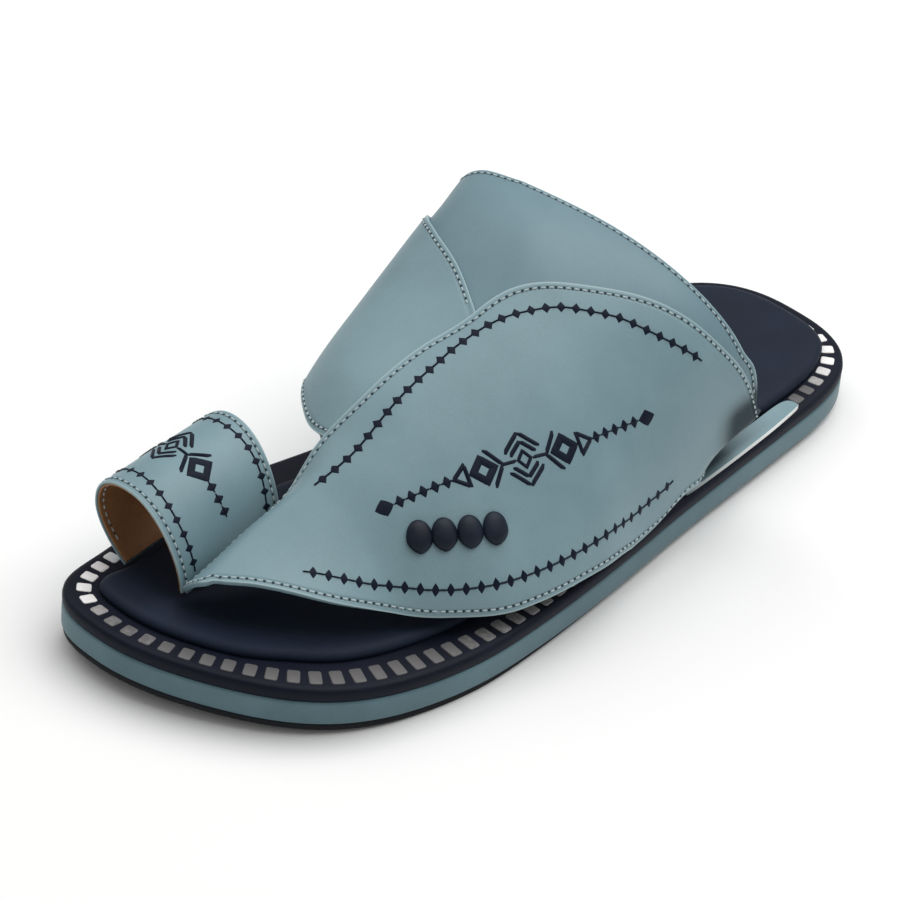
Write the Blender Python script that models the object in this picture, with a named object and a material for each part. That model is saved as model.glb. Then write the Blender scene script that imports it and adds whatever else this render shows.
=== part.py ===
# Left sandal with an adjustable wrapped upper and a toe loop.
# The toe points to -Y, the lateral (little toe) side is +X and the floor is z = 0.
import math
from collections import namedtuple

import bmesh
import bpy
from mathutils import Matrix, Vector

MM = 0.001

# Driving dimensions, in millimetres
SOLE_LENGTH = 285.0
HEEL_CAP = 0.15
HEEL_SQUARENESS = 2.6
TOE_CAP = 0.20
TOE_SQUARENESS = 2.4
SPRING_START = 0.72
TOE_SPRING = 4.6
OUTSOLE_TOP = 2.2
MIDSOLE_TOP = 10.4
RIM_TOP = 15.0
INSOLE_TOP = 18.5
INSOLE_INSET = 13.0
WALL_FOOT_INSET = 10.2
SEAT_GAP = 0.3
LEATHER = 2.4
LAP = 0.8
SOLE_STEPS = 44

# Edges of the sole's sheets, from below: how far in from the outline and how high
Edge = namedtuple("Edge", "inset height")
OUTSOLE_EDGE = (
    Edge(1.4, 0.0),
    Edge(0.8, 0.5),
    Edge(0.8, OUTSOLE_TOP),
)
MIDSOLE_EDGE = (
    Edge(0.6, OUTSOLE_TOP + SEAT_GAP),
    Edge(0.0, 3.4),
    Edge(0.0, 9.6),
    Edge(0.5, MIDSOLE_TOP),
)
RIM_EDGE = (
    Edge(0.5, MIDSOLE_TOP + SEAT_GAP),
    Edge(0.0, 11.5),
    Edge(0.1, 13.4),
    Edge(0.8, 14.5),
    Edge(2.2, RIM_TOP),
)
INSOLE_EDGE = (
    Edge(INSOLE_INSET, RIM_TOP + SEAT_GAP),
    Edge(INSOLE_INSET, 16.2),
    Edge(INSOLE_INSET + 0.9, 17.6),
    Edge(INSOLE_INSET + 3.0, INSOLE_TOP),
)

# Behind and ahead of the straps the insole reaches further out
Shift = namedtuple("Shift", "start_y full_y out")
INSOLE_SHIFTS = (
    Shift(73.0, 92.0, 5.0),
    Shift(-117.0, -130.0, 2.2),
)

# Plan of the sole: a row for each station from heel (0) to toe (1)
Station = namedtuple("Station", "at width centre_x")
SOLE_PLAN = (
    Station(0.00, 73.0, 0.0),
    Station(0.10, 76.3, -1.5),
    Station(0.22, 81.8, -0.1),
    Station(0.36, 83.5, 4.4),
    Station(0.50, 92.7, 6.1),
    Station(0.62, 101.8, 5.5),
    Station(0.72, 106.8, 3.8),
    Station(0.82, 101.5, 1.3),
    Station(0.91, 91.5, -4.3),
    Station(1.00, 79.7, -19.8),
)

# Sections of the wall over the foot: crest, widest point of each side and how full each side is
Section = namedtuple(
    "Section",
    "y crest_x crest_z lateral_x lateral_z medial_x medial_z lateral_full medial_full",
)
FOOT_SECTIONS = (
    Section(-118, 3.0, 31.5, 36.0, 20.0, -7.5, 21.0, 0.55, 0.30),
    Section(-98, 0.2, 38.0, 34.5, 20.0, -8.5, 21.0, 0.38, 0.42),
    Section(-78, 1.4, 46.5, 36.5, 20.0, -12.5, 22.0, 0.32, 0.32),
    Section(-64, 2.4, 54.4, 43.0, 20.0, -25.0, 36.0, 0.32, 0.42),
    Section(-45, -1.0, 66.0, 53.0, 20.0, -36.0, 46.0, 0.28, 0.52),
    Section(-15, 0.0, 77.0, 55.5, 20.0, -44.5, 51.0, 0.36, 0.74),
    Section(15, -12.0, 93.0, 51.5, 20.0, -49.5, 52.0, 0.50, 0.82),
    Section(40, -33.0, 93.0, 47.5, 30.5, -54.0, 51.0, 0.75, 0.86),
    Section(66, -36.0, 82.0, 46.5, 38.5, -47.0, 50.0, 0.80, 0.70),
)
TOE_SECTIONS = (
    Section(-119, -31.5, 47.5, -10.6, 22.0, -47.5, 34.0, 0.55, 0.60),
    Section(-98, -32.5, 50.5, -10.6, 21.0, -49.0, 32.0, 0.55, 0.60),
    Section(-74, -33.5, 53.0, -10.6, 20.0, -50.5, 30.0, 0.55, 0.60),
)
PANEL_FRONT_Y = -62.0
TOE_GAP_Y = -74.0
TUCK_START_Y = 36.0
TUCK_FULL_Y = 53.0
TUCK_DEPTH = 1.0

# Straps: a row for each rib, with the place of its two ends. "around" counts the wall from the
# lateral foot (-1) over the lateral side (0), crest (1) and medial side (2) to the medial foot (3).
Rib = namedtuple("Rib", "front_y front_around rear_y rear_around")
INSTEP_STRAP = (
    Rib(53, -1.00, 63.5, -1.00),
    Rib(40, 0.00, 64.5, 0.00),
    Rib(25, 0.25, 58.0, 0.25),
    Rib(9, 0.50, 49.5, 0.50),
    Rib(-7, 0.75, 41.0, 0.75),
    Rib(-18, 1.00, 32.0, 1.00),
    Rib(-13, 1.25, 29.5, 1.25),
    Rib(-3, 1.50, 29.5, 1.50),
    Rib(9, 1.75, 38.0, 1.75),
    Rib(18, 2.00, 47.0, 2.00),
    Rib(25, 2.35, 54.0, 2.35),
    Rib(36, 2.75, 52.0, 2.75),
)
MEDIAL_PANEL = (
    Rib(-58, 0.94, -16.0, 0.94),
    Rib(-62.5, 1.15, -4.0, 1.14),
    Rib(-62.5, 1.32, 3.0, 1.35),
    Rib(-60, 1.50, 10.0, 1.55),
    Rib(-54, 1.68, 21.0, 1.76),
    Rib(-46, 1.88, 36.0, 1.90),
    Rib(-40, 2.10, 50.0, 1.97),
    Rib(-37, 2.35, 61.0, 2.08),
    Rib(-35, 2.60, 66.5, 2.38),
    Rib(-34, 2.80, 68.5, 2.70),
    Rib(-34, 3.00, 69.0, 3.00),
)
FLAP = (
    Rib(-117.5, 1.70, -115.5, 1.90),
    Rib(-118.0, 1.14, -110.0, 1.76),
    Rib(-109, 0.775, -101.0, 1.64),
    Rib(-98, 0.46, -90.0, 1.50),
    Rib(-86, 0.245, -78.0, 1.41),
    Rib(-72, 0.085, -64.0, 1.27),
    Rib(-56, 0.025, -48.0, 1.09),
    Rib(-38, 0.025, -26.0, 1.04),
    Rib(-18, 0.025, -5.0, 0.95),
    Rib(2, 0.00, 14.0, 0.73),
    Rib(20, -0.10, 32.0, 0.53),
    Rib(36, -0.46, 46.0, 0.32),
    Rib(46, -0.72, 56.0, 0.17),
    Rib(56, -1.00, 65.0, -0.04),
)
TOE_LOOP = (
    Rib(-116, 0.00, -77.0, 0.00),
    Rib(-118, 0.50, -76.0, 0.50),
    Rib(-118.5, 1.00, -75.0, 1.00),
    Rib(-118, 1.50, -75.0, 1.50),
    Rib(-117, 2.00, -76.0, 2.00),
    Rib(-116, 3.00, -78.0, 3.00),
)
FLAP_OVER_PANEL_Y = -14.0
FLAP_ON_STRAP_Y = 6.0

INSTEP_STEPS = (44, 10)
PANEL_STEPS = (30, 16)
FLAP_STEPS = (38, 14)
TOE_LOOP_STEPS = (26, 8)

# Flat strip on the lateral rim
TAB_FRONT_Y = 39.0
TAB_REAR_Y = 100.0
TAB_OUTER_INSET = 1.6
TAB_OUTER_BOW = 1.1
TAB_INNER_INSET = 6.3
TAB_THICKNESS = 1.6
TAB_RISE = 0.6
TAB_SQUARENESS = 6
TAB_END_SHARE = 0.06
TAB_STEPS = (20, 3)

# Row of pads on the flap: the places of the first and the last are y and around
PAD_COUNT = 4
PAD_FIRST = (-63.0, 0.455)
PAD_LAST = (-42.5, 0.335)
PAD_LENGTH = 6.9
PAD_WIDTH = 10.0
PAD_HEIGHT = 2.2


def blend(rows, at):
    """Smooth curve through the rows of a table, by their first column."""
    keys = [row[0] for row in rows]
    at = min(max(at, keys[0]), keys[-1])
    last = len(rows) - 1
    low = max(i for i in range(last) if keys[i] <= at)
    span = keys[low + 1] - keys[low]
    t = (at - keys[low]) / span
    values = []
    for column in range(len(rows[0])):
        slopes = []
        for i in (low, low + 1):
            before, after = max(i - 1, 0), min(i + 1, last)
            rise = rows[after][column] - rows[before][column]
            slopes.append(rise / (keys[after] - keys[before]) * span)
        start, end = rows[low][column], rows[low + 1][column]
        square = 3 * (end - start) - 2 * slopes[0] - slopes[1]
        cube = slopes[0] + slopes[1] - 2 * (end - start)
        values.append(start + t * (slopes[0] + t * (square + t * cube)))
    return type(rows[0])(*values)


def ramp(start, end, value):
    """0 at start, 1 at end, with an easy change between them."""
    t = min(max((value - start) / (end - start), 0.0), 1.0)
    return t * t * (3 - 2 * t)


def half_width(at):
    """Half width of the sole at a station, rounded off at heel and toe."""
    half = blend(SOLE_PLAN, at).width / 2
    for cap, squareness, place in ((HEEL_CAP, HEEL_SQUARENESS, at), (TOE_CAP, TOE_SQUARENESS, 1 - at)):
        if place < cap:
            half *= max(1 - (1 - place / cap) ** squareness, 0.0) ** (1 / squareness)
    return half


def side_x(y, side):
    """Edge of the sole at y: side +1 is lateral and -1 medial."""
    at = 0.5 - y / SOLE_LENGTH
    return blend(SOLE_PLAN, at).centre_x + side * half_width(at)


def spring(y):
    """Rise of the sole towards the toe."""
    ahead = (0.5 - y / SOLE_LENGTH - SPRING_START) / (1 - SPRING_START)
    return TOE_SPRING * max(ahead, 0.0) ** 2


def sole_sides(inset, shifts):
    """Outline of the sole, moved in by inset, less where it is shifted out: both sides, heel to toe."""
    stations = [0.5 - 0.5 * math.cos(math.pi * i / SOLE_STEPS) for i in range(SOLE_STEPS + 1)]
    sides = []
    for side in (1, -1):
        edge = []
        for at in stations:
            x = blend(SOLE_PLAN, at).centre_x + side * half_width(at)
            edge.append(Vector((x, SOLE_LENGTH * (0.5 - at))))
        sides.append(edge)
    ring = sides[0] + sides[1][-2:0:-1]
    count = len(ring)
    moved = []
    for i in range(count):
        along = (ring[(i + 1) % count] - ring[i - 1]).normalized()
        move = inset - sum(out * ramp(start_y, full_y, ring[i].y) for start_y, full_y, out in shifts)
        moved.append(ring[i] + Vector((along.y, -along.x)) * move)
    lateral = moved[: SOLE_STEPS + 1]
    medial = [moved[0]] + moved[:SOLE_STEPS:-1] + [moved[SOLE_STEPS]]
    return lateral, medial


def sole_layer(name, profile, finish, shifts=()):
    """Sheet of the sole, with a ring of points for each row of its edge."""
    bm = bmesh.new()
    rings = []
    for inset, height in profile:
        sides = []
        for side in sole_sides(inset, shifts):
            sides.append([(p.x * MM, p.y * MM, (height + spring(p.y)) * MM) for p in side])
        lateral = [bm.verts.new(p) for p in sides[0]]
        medial = [lateral[0]] + [bm.verts.new(p) for p in sides[1][1:-1]] + [lateral[-1]]
        rings.append((lateral, medial))
    for lateral, medial in (rings[0], rings[-1]):
        for i in range(SOLE_STEPS):
            corners = [lateral[i], lateral[i + 1], medial[i + 1], medial[i]]
            bm.faces.new(list(dict.fromkeys(corners)))
    for below, above in zip(rings, rings[1:]):
        for low, high in zip(below, above):
            for i in range(SOLE_STEPS):
                bm.faces.new((low[i], low[i + 1], high[i + 1], high[i]))
    return finish_object(name, bm, finish)


def curve(p0, p1, p2, p3, t):
    """Point of a cubic curve with two handles."""
    return (1 - t) ** 3 * p0 + 3 * t * (1 - t) ** 2 * p1 + 3 * t * t * (1 - t) * p2 + t ** 3 * p3


def wall_point(sections, y, around):
    """Point of the wall over the foot or the toe."""
    s = blend(sections, y)
    crest = Vector((s.crest_x, s.crest_z))
    if around <= 0:
        foot_x = side_x(y, 1) - WALL_FOOT_INSET
        tuck = ramp(TUCK_START_Y, TUCK_FULL_Y, y) * ramp(0, TUCK_DEPTH, -around)
        foot_z = RIM_TOP + SEAT_GAP + spring(y)
        x = s.lateral_x + (foot_x - s.lateral_x) * tuck
        return Vector((x, y, s.lateral_z + (s.lateral_z - foot_z) * around))
    if around <= 1:
        base = Vector((s.lateral_x, s.lateral_z))
        rise = Vector((0, s.lateral_full * (crest.y - base.y)))
        reach = Vector((s.lateral_full * (base.x - crest.x), 0))
        p = curve(base, base + rise, crest + reach, crest, around)
        return Vector((p.x, y, p.y))
    widest = Vector((s.medial_x, s.medial_z))
    if around <= 2:
        rise = Vector((0, s.medial_full * (crest.y - widest.y)))
        reach = Vector((s.medial_full * (widest.x - crest.x), 0))
        p = curve(crest, crest + reach, widest + rise, widest, around - 1)
        return Vector((p.x, y, p.y))
    down = around - 2
    foot_x = side_x(y, -1) + WALL_FOOT_INSET
    if sections is FOOT_SECTIONS:
        foot_x += (s.medial_x - foot_x) * ramp(PANEL_FRONT_Y, TOE_GAP_Y, y)
    foot_z = RIM_TOP + SEAT_GAP + spring(y)
    return Vector((widest.x + (foot_x - widest.x) * down ** 2, y, widest.y + (foot_z - widest.y) * down))


def seat_height(x, y):
    """Lowest height of a strap over the sole."""
    inside = side_x(y, -1) + INSOLE_INSET < x < side_x(y, 1) - INSOLE_INSET
    return (INSOLE_TOP if inside else RIM_TOP) + SEAT_GAP + spring(y)


def lifted_point(sections, y, around, lift):
    """Point of the wall, moved out along its normal and kept off the sole."""
    step = 0.02
    along_y = wall_point(sections, y + 1, around) - wall_point(sections, y - 1, around)
    about = wall_point(sections, y, around + step) - wall_point(sections, y, around - step)
    p = wall_point(sections, y, around) + along_y.cross(about).normalized() * lift
    p.z = max(p.z, seat_height(p.x, p.y))
    return p


def rib_place(ribs, along, across):
    """Place on the wall, as y and around, at a share of a strap's length and width."""
    rows = [(i / (len(ribs) - 1), *rib) for i, rib in enumerate(ribs)]
    keyed = namedtuple("Keyed", "at " + " ".join(Rib._fields))
    rib = blend([keyed(*row) for row in rows], along)
    y = rib.front_y + (rib.rear_y - rib.front_y) * across
    around = rib.front_around + (rib.rear_around - rib.front_around) * across
    return y, around


def strap(name, sections, ribs, steps, outer_lift, finish):
    """Strap of leather that follows the wall."""
    along_steps, across_steps = steps
    grids = []
    for depth in (0.0, LEATHER):
        grid = []
        for i in range(along_steps + 1):
            row = []
            for j in range(across_steps + 1):
                y, around = rib_place(ribs, i / along_steps, j / across_steps)
                row.append(lifted_point(sections, y, around, outer_lift(y) - depth))
            grid.append(row)
        grids.append(grid)
    return leather_sheet(name, grids, finish)


def leather_sheet(name, grids, finish):
    """Sheet with real thickness: two grids of points, joined round their edges."""
    bm = bmesh.new()
    borders = []
    for grid in grids:
        grid = [[bm.verts.new(p * MM) for p in row] for row in grid]
        for row, following in zip(grid, grid[1:]):
            for j in range(len(row) - 1):
                bm.faces.new((row[j], row[j + 1], following[j + 1], following[j]))
        borders.append(grid_border(grid))
    outer, inner = borders
    for i in range(len(outer)):
        bm.faces.new((outer[i - 1], outer[i], inner[i], inner[i - 1]))
    return finish_object(name, bm, finish)


def grid_border(grid):
    """Vertices round the edge of a grid, in order."""
    right = [row[-1] for row in grid[1:-1]]
    left = [row[0] for row in grid[1:-1]]
    return grid[0] + right + grid[-1][::-1] + left[::-1]


def upper_straps(finish):
    """Instep strap, medial panel and flap, joined where they cross."""
    instep = strap("upper", FOOT_SECTIONS, INSTEP_STRAP, INSTEP_STEPS, lambda y: 0.0, finish)
    panel = strap("medial_panel", FOOT_SECTIONS, MEDIAL_PANEL, PANEL_STEPS, lambda y: LEATHER - LAP, finish)
    flap = strap("flap", FOOT_SECTIONS, FLAP, FLAP_STEPS, flap_lift, finish)
    for piece in (panel, flap):
        join = instep.modifiers.new("join " + piece.name, "BOOLEAN")
        join.operation = "UNION"
        join.solver = "EXACT"
        join.object = piece
        piece.hide_render = True
        piece.display_type = "WIRE"
    return instep


def flap_lift(y):
    """The flap lies on the instep strap, and ahead of it on the medial panel."""
    return (LEATHER - LAP) * (1 + ramp(FLAP_ON_STRAP_Y, FLAP_OVER_PANEL_Y, y))


def lateral_tab(finish):
    """Flat leather strip along the lateral rim, bowed outwards, its inner edge a little raised."""
    along_steps, across_steps = TAB_STEPS
    grids = []
    for height in (TAB_THICKNESS, 0.0):
        grid = []
        for i in range(along_steps + 1):
            share = i / along_steps
            y = TAB_FRONT_Y + (TAB_REAR_Y - TAB_FRONT_Y) * (0.5 - 0.5 * math.cos(math.pi * share))
            fullness = max(1 - abs(2 * share - 1) ** TAB_SQUARENESS, TAB_END_SHARE)
            outer_inset = TAB_OUTER_INSET - TAB_OUTER_BOW * math.sin(math.pi * share)
            row = []
            for j in range(across_steps + 1):
                across = j / across_steps * fullness
                inset = outer_inset + (TAB_INNER_INSET - outer_inset) * across
                z = RIM_TOP + SEAT_GAP + TAB_RISE * across ** 2 + height
                row.append(Vector((side_x(y, 1) - inset, y, z)))
            grid.append(row)
        grids.append(grid)
    return leather_sheet("lateral_tab", grids, finish)


def ornament_pads(finish):
    """Row of small domed pads on the flap."""
    for n in range(PAD_COUNT):
        share = n / (PAD_COUNT - 1)
        y = PAD_FIRST[0] + (PAD_LAST[0] - PAD_FIRST[0]) * share
        around = PAD_FIRST[1] + (PAD_LAST[1] - PAD_FIRST[1]) * share
        seat = lifted_point(FOOT_SECTIONS, y, around, flap_lift(y) + SEAT_GAP)
        up = (lifted_point(FOOT_SECTIONS, y, around, flap_lift(y) + 1) - seat).normalized()
        ahead = wall_point(FOOT_SECTIONS, PAD_LAST[0], PAD_LAST[1])
        ahead -= wall_point(FOOT_SECTIONS, PAD_FIRST[0], PAD_FIRST[1])
        across = up.cross(ahead).normalized()
        turn = Matrix((across.cross(up), across, up)).transposed().to_4x4()
        bm = bmesh.new()
        bmesh.ops.create_uvsphere(bm, u_segments=16, v_segments=8, radius=1)
        whole = bm.verts[:] + bm.edges[:] + bm.faces[:]
        bmesh.ops.bisect_plane(bm, geom=whole, plane_co=(0, 0, 0), plane_no=(0, 0, -1), clear_outer=True)
        bmesh.ops.contextual_create(bm, geom=[edge for edge in bm.edges if edge.is_boundary])
        size = Vector((PAD_LENGTH / 2, PAD_WIDTH / 2, PAD_HEIGHT)) * MM
        bmesh.ops.scale(bm, vec=size, verts=bm.verts)
        bmesh.ops.transform(bm, matrix=Matrix.Translation(seat * MM) @ turn, verts=bm.verts)
        finish_object(f"ornament_pad_{n + 1}", bm, finish)


def finish_object(name, bm, finish):
    """Object with outward faces, smooth shading and its material."""
    bmesh.ops.recalc_face_normals(bm, faces=bm.faces)
    mesh = bpy.data.meshes.new(name)
    bm.to_mesh(mesh)
    bm.free()
    mesh.shade_smooth()
    mesh.set_sharp_from_angle(angle=math.radians(35))
    mesh.materials.append(finish)
    piece = bpy.data.objects.new(name, mesh)
    bpy.context.collection.objects.link(piece)
    return piece


def material(name, colour, roughness):
    """Principled finish; the colour is linear."""
    finish = bpy.data.materials.new(name)
    finish.use_nodes = True
    shader = finish.node_tree.nodes["Principled BSDF"]
    shader.inputs["Base Color"].default_value = (*colour, 1)
    shader.inputs["Roughness"].default_value = roughness
    shader.inputs["Metallic"].default_value = 0
    return finish


def main():
    for old in list(bpy.data.objects):
        bpy.data.objects.remove(old)
    teal = material("blue-grey leather", (0.22, 0.32, 0.35), 0.5)
    wrap = material("blue-grey edge leather", (0.15, 0.24, 0.26), 0.5)
    navy = material("navy leather", (0.026, 0.035, 0.06), 0.55)
    rubber = material("dark rubber", (0.012, 0.013, 0.018), 0.7)
    sole_layer("outsole", OUTSOLE_EDGE, rubber)
    sole_layer("midsole", MIDSOLE_EDGE, wrap)
    sole_layer("rim", RIM_EDGE, navy)
    sole_layer("insole", INSOLE_EDGE, navy, INSOLE_SHIFTS)
    upper_straps(teal)
    strap("toe_loop", TOE_SECTIONS, TOE_LOOP, TOE_LOOP_STEPS, lambda y: 0.0, teal)
    lateral_tab(teal)
    ornament_pads(navy)


main()
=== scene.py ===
import math
from functools import lru_cache

import bmesh
import bpy
from mathutils import Matrix, Vector, kdtree, noise


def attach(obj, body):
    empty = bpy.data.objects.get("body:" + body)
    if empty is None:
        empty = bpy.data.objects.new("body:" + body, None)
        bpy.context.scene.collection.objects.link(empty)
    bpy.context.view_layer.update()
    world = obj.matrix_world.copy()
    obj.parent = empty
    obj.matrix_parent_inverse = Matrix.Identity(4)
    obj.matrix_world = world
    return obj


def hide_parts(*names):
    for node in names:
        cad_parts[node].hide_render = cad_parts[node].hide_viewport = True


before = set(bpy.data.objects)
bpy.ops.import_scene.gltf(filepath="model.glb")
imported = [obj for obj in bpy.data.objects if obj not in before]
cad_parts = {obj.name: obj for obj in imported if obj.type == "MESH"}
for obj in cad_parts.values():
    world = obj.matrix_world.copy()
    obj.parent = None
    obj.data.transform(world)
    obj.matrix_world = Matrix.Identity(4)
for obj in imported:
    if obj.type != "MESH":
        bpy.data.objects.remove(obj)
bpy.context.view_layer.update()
mm = 0.001
print("frame loaded,", len(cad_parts), "solids")

# Shape of the sole, in millimetres: toe to -Y, lateral side to +X, floor at 0
soleShape = {
    "length": 285.0, "heelCap": 0.15, "heelSquare": 2.6, "toeCap": 0.20, "toeSquare": 2.4,
    "springStart": 0.72, "spring": 4.6, "rimTop": 15.0, "insoleTop": 18.5, "insoleInset": 13.0,
    "wallInset": 10.2, "seatGap": 0.3, "steps": 120,
    "plan": (  # share from heel to toe, width, x of the middle
        (0.00, 73.0, 0.0), (0.10, 76.3, -1.5), (0.22, 81.8, -0.1), (0.36, 83.5, 4.4), (0.50, 92.7, 6.1),
        (0.62, 101.8, 5.5), (0.72, 106.8, 3.8), (0.82, 101.5, 1.3), (0.91, 91.5, -4.3), (1.00, 79.7, -19.8),
    ),
}

# Sections of the last: y, crest x z, widest point of the lateral and medial side x z, fullness of both sides
lastShape = {
    "foot": (
        (-118, 3.0, 31.5, 36.0, 20.0, -7.5, 21.0, 0.55, 0.30),
        (-98, 0.2, 38.0, 34.5, 20.0, -8.5, 21.0, 0.38, 0.42),
        (-78, 1.4, 46.5, 36.5, 20.0, -12.5, 22.0, 0.32, 0.32),
        (-64, 2.4, 54.4, 43.0, 20.0, -25.0, 36.0, 0.32, 0.42),
        (-45, -1.0, 66.0, 53.0, 20.0, -36.0, 46.0, 0.28, 0.52),
        (-15, 0.0, 77.0, 55.5, 20.0, -44.5, 51.0, 0.36, 0.74),
        (15, -12.0, 93.0, 51.5, 20.0, -49.5, 52.0, 0.50, 0.82),
        (40, -33.0, 93.0, 47.5, 30.5, -54.0, 51.0, 0.75, 0.86),
        (66, -36.0, 82.0, 46.5, 38.5, -47.0, 50.0, 0.80, 0.70),
    ),
    "toe": (
        (-119, -31.5, 47.5, -10.6, 22.0, -47.5, 34.0, 0.55, 0.60),
        (-98, -32.5, 50.5, -10.6, 21.0, -49.0, 32.0, 0.55, 0.60),
        (-74, -33.5, 53.0, -10.6, 20.0, -50.5, 30.0, 0.55, 0.60),
    ),
    "panelFront": -62.0, "toeGap": -74.0,  # the medial wall closes in between these
    "tuckStart": 36.0, "tuckFull": 53.0, "tuckDepth": 1.0,  # the lateral wall turns in to the rim
    "waveSize": 42.0, "waveHeight": 0.5, "waveFade": 14.0,  # slow unevenness of hand-lasted leather
}


def through(rows, at):  # smooth curve through the rows of a table, by their first column
    keys = [row[0] for row in rows]
    at = min(max(at, keys[0]), keys[-1])
    last = len(rows) - 1
    low = max(i for i in range(last) if keys[i] <= at)
    span = keys[low + 1] - keys[low]
    t = (at - keys[low]) / span
    values = []
    for column in range(1, len(rows[0])):
        slopes = []
        for i in (low, low + 1):
            before, after = max(i - 1, 0), min(i + 1, last)
            slopes.append((rows[after][column] - rows[before][column]) / (keys[after] - keys[before]) * span)
        start, end = rows[low][column], rows[low + 1][column]
        square = 3 * (end - start) - 2 * slopes[0] - slopes[1]
        cube = slopes[0] + slopes[1] - 2 * (end - start)
        values.append(start + t * (slopes[0] + t * (square + t * cube)))
    return values


def ease(start, end, value):  # 0 at start, 1 at end
    t = min(max((value - start) / (end - start), 0.0), 1.0)
    return t * t * (3 - 2 * t)


@lru_cache(maxsize=None)
def soleRow(at):  # half width and middle of the sole at a share of its length
    width, middle = through(soleShape["plan"], at)
    half = width / 2
    for cap, square, place in (
        (soleShape["heelCap"], soleShape["heelSquare"], at),
        (soleShape["toeCap"], soleShape["toeSquare"], 1 - at),
    ):
        if place < cap:
            half *= max(1 - (1 - place / cap) ** square, 0.0) ** (1 / square)
    return half, middle


def soleEdge(y, side):  # x of the sole's edge, side 1 lateral and -1 medial
    half, middle = soleRow(0.5 - y / soleShape["length"])
    return middle + side * half


def soleRise(y):  # toe spring
    ahead = (0.5 - y / soleShape["length"] - soleShape["springStart"]) / (1 - soleShape["springStart"])
    return soleShape["spring"] * max(ahead, 0.0) ** 2


@lru_cache(maxsize=None)
def soleSides(inset, shifts=()):  # matching points of the lateral and medial edge, heel to toe, moved in
    steps = soleShape["steps"]
    sides = {1: [], -1: []}
    for i in range(steps + 1):
        at = 0.5 - 0.5 * math.cos(math.pi * i / steps)
        half, middle = soleRow(at)
        for side in sides:
            sides[side].append(Vector((middle + side * half, soleShape["length"] * (0.5 - at))))
    ring = sides[1] + sides[-1][-2:0:-1]
    moved = []
    for i, point in enumerate(ring):
        along = (ring[(i + 1) % len(ring)] - ring[i - 1]).normalized()
        move = inset
        for start, full, out in shifts:
            move -= out[0 if i < steps else 1] * ease(start, full, point.y)
        moved.append(point + Vector((along.y, -along.x)) * move)
    return moved[: steps + 1], [moved[0]] + moved[:steps:-1] + [moved[steps]]


@lru_cache(maxsize=None)
def lastRow(wall, y):
    return through(lastShape[wall], y)


def curvePoint(p0, p1, p2, p3, t):
    return (1 - t) ** 3 * p0 + 3 * t * (1 - t) ** 2 * p1 + 3 * t * t * (1 - t) * p2 + t ** 3 * p3


def wallPoint(wall, y, around):  # around: lateral foot -1, lateral side 0, crest 1, medial side 2, medial foot 3
    crestX, crestZ, latX, latZ, medX, medZ, latFull, medFull = lastRow(wall, y)
    seat = soleShape["rimTop"] + soleShape["seatGap"] + soleRise(y)
    if around <= 0:
        tuck = ease(lastShape["tuckStart"], lastShape["tuckFull"], y) * ease(0, lastShape["tuckDepth"], -around)
        x = latX + (soleEdge(y, 1) - soleShape["wallInset"] - latX) * tuck
        return Vector((x, y, latZ + (latZ - seat) * around))
    if around <= 1:
        reach = latFull * (latX - crestX)
        rise = latFull * (crestZ - latZ)
        return Vector((
            curvePoint(latX, latX, crestX + reach, crestX, around), y,
            curvePoint(latZ, latZ + rise, crestZ, crestZ, around),
        ))
    if around <= 2:
        reach = medFull * (medX - crestX)
        rise = medFull * (crestZ - medZ)
        return Vector((
            curvePoint(crestX, crestX + reach, medX, medX, around - 1), y,
            curvePoint(crestZ, crestZ, medZ + rise, medZ, around - 1),
        ))
    down = around - 2
    footX = soleEdge(y, -1) + soleShape["wallInset"]
    if wall == "foot":
        footX += (medX - footX) * ease(lastShape["panelFront"], lastShape["toeGap"], y)
    return Vector((medX + (footX - medX) * down ** 2, y, medZ + (seat - medZ) * down))


def wallSlopes(wall, y, around):  # change of the wall's point along y and round the foot, and its normal
    alongY = (wallPoint(wall, y + 1, around) - wallPoint(wall, y - 1, around)) / 2
    about = (wallPoint(wall, y, around + 0.02) - wallPoint(wall, y, around - 0.02)) / 0.04
    return alongY, about, alongY.cross(about).normalized()


def onWall(wall, y, around, lift):  # point above the wall, kept off the sole
    normal = wallSlopes(wall, y, around)[2]
    base = wallPoint(wall, y, around)
    p = base + normal * lift
    inside = soleEdge(y, -1) + soleShape["insoleInset"] < p.x < soleEdge(y, 1) - soleShape["insoleInset"]
    top = soleShape["insoleTop"] if inside else soleShape["rimTop"]
    seat = top + soleShape["seatGap"] + soleRise(p.y)
    wave = noise.noise(base / lastShape["waveSize"]) * lastShape["waveHeight"]
    p += normal * wave * ease(seat, seat + lastShape["waveFade"], p.z)  # feet stay where they are sewn in
    p.z = max(p.z, seat)
    return p


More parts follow.
